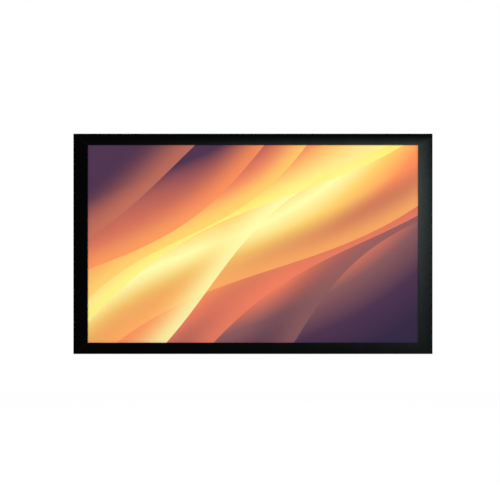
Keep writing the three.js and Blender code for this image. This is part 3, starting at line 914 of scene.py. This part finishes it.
def ribbon(shader, below, along, across, edge, bend, width, near, far, strength):
    """A translucent ribbon over the colour below: crisp along a wavy edge and fading across its width. The
    edge is a place and a slant, and the bend is the size, rate and phase of its sine wave."""
    base, slant = edge
    size, rate, phase = bend
    line = (along * rate + phase).sin() * size + along * slant + base
    depth = (across - line) / width
    cover = depth.smooth(0.0, 0.012) * (1.0 - depth.smooth(0.0, 1.0)) * strength
    colour = shader.blend(depth.smooth(0.0, 0.9), near, far)
    return shader.blend(cover, below, colour)


PRINT_GRAIN = 1.1
PALE = (0.99, 0.98, 0.42)
LEMON = (0.99, 0.90, 0.20)
GOLD = (0.99, 0.62, 0.14)
AMBER = (0.98, 0.45, 0.12)
ORANGE = (0.97, 0.28, 0.10)
CORAL = (0.88, 0.21, 0.11)
CLAY = (0.55, 0.16, 0.10)
MAUVE = (0.25, 0.10, 0.105)
PLUM = (0.070, 0.028, 0.072)
NIGHT = (0.030, 0.016, 0.050)


def picture_finish():
    """The generic picture: soft fields of warm colour with curved translucent ribbons across them. Its
    numbers are in metres."""
    shader = material("picture_side")
    x, _, z = shader.place()
    turn = math.radians(36.0)
    along = x * math.cos(turn) + z * math.sin(turn)
    across = z * math.cos(turn) - x * math.sin(turn)
    drift = across + (along * 2.1 + 0.5).sin() * 0.13
    stops = [
        (0.00, NIGHT), (0.14, PLUM), (0.27, MAUVE), (0.38, CORAL), (0.47, ORANGE),
        (0.56, GOLD), (0.64, PALE), (0.72, GOLD), (0.82, CORAL), (1.00, PLUM),
    ]
    field = shader.node("ShaderNodeValToRGB", {"stops": stops}, {"Fac": drift * 0.66 + 0.54}, output="Color")
    layers = [
        ((-0.62, 0.10), (0.12, 2.6, 0.4), 0.34, MAUVE, NIGHT, 0.85),
        ((-0.40, 0.02), (0.10, 2.2, 1.9), 0.30, CORAL, PLUM, 0.80),
        ((-0.20, -0.08), (0.13, 1.9, 3.1), 0.26, AMBER, CLAY, 0.75),
        ((-0.04, 0.06), (0.11, 2.4, 0.9), 0.24, PALE, GOLD, 0.85),
        ((0.12, -0.05), (0.12, 2.0, 2.4), 0.26, LEMON, ORANGE, 0.80),
        ((0.30, 0.08), (0.10, 2.7, 4.0), 0.24, GOLD, CORAL, 0.80),
        ((0.46, 0.00), (0.12, 2.3, 5.2), 0.30, ORANGE, PLUM, 0.80),
        ((0.66, -0.06), (0.10, 2.1, 0.2), 0.34, CLAY, NIGHT, 0.85),
    ]
    for edge, bend, width, near, far, strength in layers:
        field = ribbon(shader, field, along, across, edge, bend, width, near, far, strength)
    grain = shader.noise(PRINT_GRAIN, detail=3.0)
    return shader.surface(
        base_color=shader.blend(grain.smooth(0.25, 0.75) * 0.05, field, NIGHT),
        roughness=grain * 0.1 + 0.72,
        specular_ior_level=0.15,
        normal=shader.bump(grain, 0.06),
    )


EMBOSS = 1.4
CLOUD = 330.0
WAFFLE = 2.0
FILM_GREY = (0.70, 0.70, 0.68)
FILM_PALE = (0.82, 0.82, 0.805)


def film_back(name, welded):
    """The plain back of the film: off-white, with the fine emboss of its casting and soft clouds. The
    welded hems also have the waffle of the welding bars: the product of two sine waves."""
    shader = material(name)
    x, _, z = shader.place()
    emboss = shader.noise(EMBOSS)
    clouds = shader.noise(CLOUD)
    relief, depth = emboss, 0.05
    if welded:
        wave = 2 * math.pi / (WAFFLE * MM)
        relief, depth = (x * wave).sin() * (z * wave).sin() + emboss * 0.3, 0.22
    return shader.surface(
        base_color=shader.blend(clouds * 0.7 + emboss * 0.3, FILM_GREY, FILM_PALE),
        roughness=emboss * 0.15 + 0.55,
        specular_ior_level=0.3,
        normal=shader.bump(relief, depth),
    )


# The picture faces forwards, and where the hems turn it in, the plain back shows. The far side of each
# face takes the finish after its own.
plain_back, welded_back = film_back("film_back", False), film_back("welded_hem", True)
screen = new_piece(
    "screen_film",
    sheet_points,
    sheet_quads,
    [picture_finish(), plain_back, plain_back, welded_back, plain_back],
    solid=False,
    face_finish=sheet_finish,
)
film = screen.modifiers.new("film", "SOLIDIFY")
film.thickness = SHEET * MM
film.offset = -1.0
film.material_offset = 1
film.material_offset_rim = 1
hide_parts("screen_sheet")
# Laid flat, the sheet reaches past the rods by the loop round them and the weld.
developed = weld_from + WELD_WIDTH + hem_radius * math.radians(LOOP_END - LOOP_START)
2 * (sheet_half["z"] + developed) * MM
2 * (sheet_half["x"] + developed) * MM
nodes_with("tension_rod_")

# Tension rods and clips: smooth black fibreglass rods lie in the hems, and moulded acetal clips snap
# on them from behind and hook over the lip of the rail.
CLIP_ARM = 3.0
CLIP_HOOK = 5.3
CLIP_ELBOW = 3.5
CLIP_CHAMFER = 0.35
HEEL_ROUNDING = 1.2
ELBOW_ROUNDING = 1.0
THROAT_ROUNDING = 1.5
HOOK_ROUNDING = 0.9
INNER_ROUNDING = 0.3
GROOVES = 4
GROOVE_START = 1.6
GROOVE_PITCH = 1.5
GROOVE_DEPTH = 0.35
GROOVE_SLOPE = 0.2
GROOVE_MOUTH = 0.8
GROOVE_ROUNDING = 0.12
ROD_CHAMFER = 0.5
ROD_SIDES = 28
JAW_FIT = 0.02
JAW_ROOT = -65
JAW_TIP = 85
JAW_THROAT = -130
JAW_OUTSIDE_POINTS = 22
JAW_INSIDE_POINTS = 28
MOULD_GRAIN = 0.38
MOULD_PATCH = 8.3
ACETAL_BLACK = (0.010, 0.010, 0.011)
ACETAL_GREY = (0.026, 0.026, 0.028)
GLASS_FIBRE = (125.0, 0.31)
RESIN_BLACK = (0.014, 0.014, 0.015)
FIBRE_GREY = (0.050, 0.050, 0.052)
clip_front = LIP_BACK - FIT
clip_back = clip_front - CLIP_ARM


def together(parts):
    """One set of points and faces from several."""
    offsets = np.cumsum([0] + [len(points) for points, _ in parts])
    faces = [[i + offset for i in face] for (_, part), offset in zip(parts, offsets) for face in part]
    return np.concatenate([points for points, _ in parts]), faces


def hook(face):
    """Corners of a hook from the side: its face bears on the outer side of the lip."""
    tip = clip_front + CLIP_HOOK
    return [
        (face, clip_front, INNER_ROUNDING),
        (face, tip, HOOK_ROUNDING),
        (face - CLIP_ARM, tip, HOOK_ROUNDING),
    ]


def clip_outline(edge):
    """The clip from the side: hook, arm along the back with grooves for the thumb, elbow, and a jaw that
    reaches round the rod by two arcs."""
    lip, rod = lip_at(EDGES[edge][3]), rod_at(edge)
    hook_face, elbow = lip - FIT, lip + RAIL_WALL + CLIP_ELBOW
    jaw_outside = arc(rod, rod_v, ROD_RADIUS + CLIP_JAW, JAW_ROOT, JAW_TIP, JAW_OUTSIDE_POINTS)
    jaw_inside = arc(rod, rod_v, ROD_RADIUS + JAW_FIT, JAW_TIP, JAW_THROAT, JAW_INSIDE_POINTS)
    jaw = np.pad(np.concatenate([jaw_outside, jaw_inside]), ((0, 0), (0, 1)))
    groove = [
        (0, 0), (GROOVE_SLOPE, GROOVE_DEPTH), (GROOVE_MOUTH - GROOVE_SLOPE, GROOVE_DEPTH), (GROOVE_MOUTH, 0),
    ]
    first_groove = hook_face - CLIP_ARM + GROOVE_START
    grooves = [
        (first_groove + i * GROOVE_PITCH + across, clip_back + depth, GROOVE_ROUNDING)
        for i in range(GROOVES)
        for across, depth in groove
    ]
    return rounded_path(
        [
            (hook_face - CLIP_ARM, clip_back, HEEL_ROUNDING),
            *grooves,
            (elbow, clip_back, ELBOW_ROUNDING),
            *jaw,
            (elbow - CLIP_ARM / 2, clip_front, THROAT_ROUNDING),
            *hook(hook_face),
        ],
        closed=True,
    )


def moulded_acetal():
    """Moulded black acetal: a fine spark-eroded grain and a low sheen, a little greyer in patches."""
    shader = material("moulded_acetal")
    grain = shader.noise(MOULD_GRAIN)
    return shader.surface(
        base_color=shader.blend(shader.noise(MOULD_PATCH), ACETAL_BLACK, ACETAL_GREY),
        roughness=grain * 0.2 + 0.36,
        specular_ior_level=0.4,
        normal=shader.bump(grain, 0.04),
    )


def drawn_fibreglass(name, lengthwise):
    """Pultruded fibreglass: fine fibres in black resin, which run the length of the rod."""
    shader = material(name)
    fibres = shader.noise(drawn_out(lengthwise, GLASS_FIBRE), detail=3.0)
    return shader.surface(
        base_color=shader.blend(fibres, RESIN_BLACK, FIBRE_GREY),
        roughness=fibres * 0.14 + 0.24,
        normal=shader.bump(fibres, 0.02),
    )


acetal = moulded_acetal()
fibreglass = {"x": drawn_fibreglass("long_rod", "x"), "z": drawn_fibreglass("short_rod", "z")}
for run, (edge, start, _) in RUNS.items():
    # The second rod of a long edge lies in the run that starts in its middle.
    low, high = rod_runs(edge)[1 if start == 0 else 0]
    circle = arc(rod_at(edge), rod_v, ROD_RADIUS, 0, 360, ROD_SIDES + 1)[:-1]
    clips = [
        carried(edge, [clip_outline(edge)], (s - CLIP_WIDTH / 2, 0), (s + CLIP_WIDTH / 2, 0), CLIP_CHAMFER)
        for s in clip_places(low, high)
    ]
    bare_rod = carried(edge, [circle], (low, 0), (high, 0), ROD_CHAMFER)
    points, faces = together([bare_rod, *clips])
    is_clip = np.arange(len(faces)) >= len(bare_rod[1])
    finishes = [fibreglass[axis_of(edge)], acetal]
    rod = new_piece(f"rod_and_clips_{run}", points, faces, finishes, face_finish=is_clip)
    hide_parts(f"tension_rod_{run}")


# Support bar: an oblong aluminium tube behind the sheet, black anodised. A moulded plug in each end
# bears on the lip of the long rail and hooks over it.
BAR_WIDTH = 30.0
BAR_FRONT = 11.0
BAR_BACK = 1.0
BAR_WALL = 1.5
BAR_ROUNDING = 1.4
BAR_CHAMFER = 0.2
PLUG_SHOULDER = 5.0
PLUG_INSERT = 34.0
PLUG_CHAMFER = 0.5
PLUG_ROUNDING = 1.0
SHOULDER_ROUNDING = 0.4
bar_start = lip_at(1.0) + RAIL_WALL + FIT + PLUG_SHOULDER
bar_half = half_height - bar_start - FIT


def oblong(inset_by, rounding):
    """The bar's section moved inwards, with round corners. The bar is carried along the left edge, so its
    middle is half the screen's width from there."""
    low_v, high_v, half = BAR_BACK + inset_by, BAR_FRONT - inset_by, BAR_WIDTH / 2 - inset_by
    return rectangle(half_width - half, low_v, half_width + half, high_v, rounding)


bar_section = [oblong(0.0, BAR_ROUNDING), oblong(BAR_WALL, BAR_ROUNDING / 2)]
bar_points, bar_faces = carried("left", bar_section, (-bar_half, 0), (bar_half, 0), BAR_CHAMFER)
bar_finish = anodised_lengthwise["z"]
bar = new_piece("support_tube", bar_points, bar_faces, [bar_finish])
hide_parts("support_bar")


def plug_head():
    """The plug from the side: its hook over the lip, and the shoulder between the lip and the bar."""
    hook_face, lip_inside = lip_at(1.0) - FIT, lip_at(1.0) + RAIL_WALL + FIT
    return rounded_path(
        [
            (hook_face - CLIP_ARM, clip_back, PLUG_ROUNDING),
            (bar_start, clip_back, SHOULDER_ROUNDING),
            (bar_start, BAR_FRONT, SHOULDER_ROUNDING),
            (lip_inside, BAR_FRONT, PLUG_ROUNDING),
            (lip_inside, clip_front, INNER_ROUNDING),
            *hook(hook_face),
        ],
        closed=True,
    )


insert_inset = BAR_WALL + FIT
insert_corners = [
    (bar_start - PLUG_SHOULDER / 2, BAR_BACK + insert_inset, PLUG_ROUNDING / 2),
    (bar_start + PLUG_INSERT, BAR_BACK + insert_inset, PLUG_ROUNDING),
    (bar_start + PLUG_INSERT, BAR_FRONT - insert_inset, PLUG_ROUNDING),
    (bar_start - PLUG_SHOULDER / 2, BAR_FRONT - insert_inset, PLUG_ROUNDING / 2),
]
plug_insert = rounded_path(insert_corners, closed=True)
head_half = BAR_WIDTH / 2
insert_half = head_half - insert_inset
for edge in LONG_EDGES:
    head = carried(edge, [plug_head()], (-head_half, 0), (head_half, 0), PLUG_CHAMFER)
    insert = carried(edge, [plug_insert], (-insert_half, 0), (insert_half, 0), PLUG_CHAMFER)
    points, faces = together([head, insert])
    plug = new_piece(f"end_plug_{edge}", points, faces, [acetal])
    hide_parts(f"bar_plug_{edge}")


# Wall brackets: strips of steel, slotted, bent to a Z and zinc plated. Two screws hold each to the wall
# through its slots, and its tongue stands in the slot of the long rail.
WALL_GAP = 5.0
STEEL = 2.5
STRIP_WIDTH = 90.0
STRIP_ROUNDING = 1.5
BRACKET_HEIGHT = 42.0
UPTURN = 4.0
BEND_RADIUS = 2.1
BEND_STEPS = 10
CUT_TOLERANCE = 1e-5
WALL_SLOT_WIDTH = 6.0
WALL_SLOT_LENGTH = 16.0
WALL_SLOT_SPACING = 48.0
SLOT_END_STEPS = 17

tongue_u = SLOT_START + (SLOT_WIDTH - SLOT_MOUTH) / 2 + FIT + STEEL / 2
upturn_v = SLOT_LIP + FIT + BEND_RADIUS
plate_v = STEEL / 2 - WALL_GAP
bend = BEND_RADIUS * math.pi / 2
upturn_flat = UPTURN + STEEL / 2 - BEND_RADIUS
web_flat = upturn_v - plate_v - 2 * BEND_RADIUS
plate_flat = BRACKET_HEIGHT - STEEL / 2 - BEND_RADIUS
knots = np.cumsum([0, upturn_flat, bend, web_flat, bend, plate_flat])
headings = np.radians([0, 0, -90, -90, 0, 0])


def centre_line():
    """Stations w along the middle of the bent strip and its place (u, v) at each. The heading goes evenly
    through each bend, and a step there is the chord of its turn."""
    bends = [np.linspace(knots[i], knots[i + 1], BEND_STEPS + 1) for i in (1, 3)]
    stations = np.concatenate([knots[:1], *bends, knots[-1:]])
    heading = np.interp(stations, knots, headings)
    half_turns = np.diff(heading) / 2
    chords = np.diff(stations) * np.sinc(half_turns / math.pi)
    chord_headings = heading[:-1] + half_turns
    u = tongue_u - STEEL / 2 - UPTURN + np.cumsum([0, *(chords * np.cos(chord_headings))])
    v = upturn_v + np.cumsum([0, *(chords * np.sin(chord_headings))])
    return stations, u, v


def slotted_blank(stations):
    """The flat blank as points (s, w, t), with w along the strip and t through the steel, and its faces. They
    are cut across at every station, so that the blank can bend there."""
    half, length = STRIP_WIDTH / 2, stations[-1]
    outline = rectangle(-half, 0, half, length, STRIP_ROUNDING)
    slot_w = length - (BRACKET_HEIGHT - STEEL) / 2
    radius, straight = WALL_SLOT_WIDTH / 2, (WALL_SLOT_LENGTH - WALL_SLOT_WIDTH) / 2
    slots = []
    for s in (-WALL_SLOT_SPACING / 2, WALL_SLOT_SPACING / 2):
        right_end = arc(s + straight, slot_w, radius, -90, 90, SLOT_END_STEPS)
        left_end = arc(s - straight, slot_w, radius, 90, 270, SLOT_END_STEPS)
        slots.append(np.concatenate([right_end, left_end]))
    rings, faces = ringed([outline, *slots], PLATE_EDGE)
    points = points_at(rings[..., 0], rings[..., 1], ring_places(-STEEL / 2, STEEL / 2, PLATE_EDGE))
    blank = bpy.data.meshes.new("blank")
    blank.from_pydata(points.reshape(-1, 3).tolist(), [], faces)
    whole = bmesh.new()
    whole.from_mesh(blank)
    for w in stations[1:-1]:
        everything = whole.verts[:] + whole.edges[:] + whole.faces[:]
        bmesh.ops.bisect_plane(
            whole, geom=everything, dist=CUT_TOLERANCE, plane_co=(0, w, 0), plane_no=(0, 1, 0)
        )
    whole.to_mesh(blank)
    whole.free()
    flat = np.empty(3 * len(blank.vertices))
    blank.vertices.foreach_get("co", flat)
    faces = [list(polygon.vertices) for polygon in blank.polygons]
    bpy.data.meshes.remove(blank)
    return flat.reshape(-1, 3), faces


stations, line_u, line_v = centre_line()
flat_points, strip_faces = slotted_blank(stations)
s, w, t = flat_points.T
heading = np.interp(w, knots, headings)
u = np.interp(w, stations, line_u) - t * np.sin(heading)
v = np.interp(w, stations, line_v) + t * np.cos(heading)
for node in nodes_with("wall_bracket_"):
    edge = "top" if "top" in node else "bottom"
    along_x = EDGES[edge][0][0]
    low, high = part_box(node)
    middle = (low.x + high.x) / 2 / MM * along_x
    points = on_edge(edge, middle + s, u, v)
    strip = new_piece(f"bent_{node}", points, strip_faces, [zinc])
    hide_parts(node)
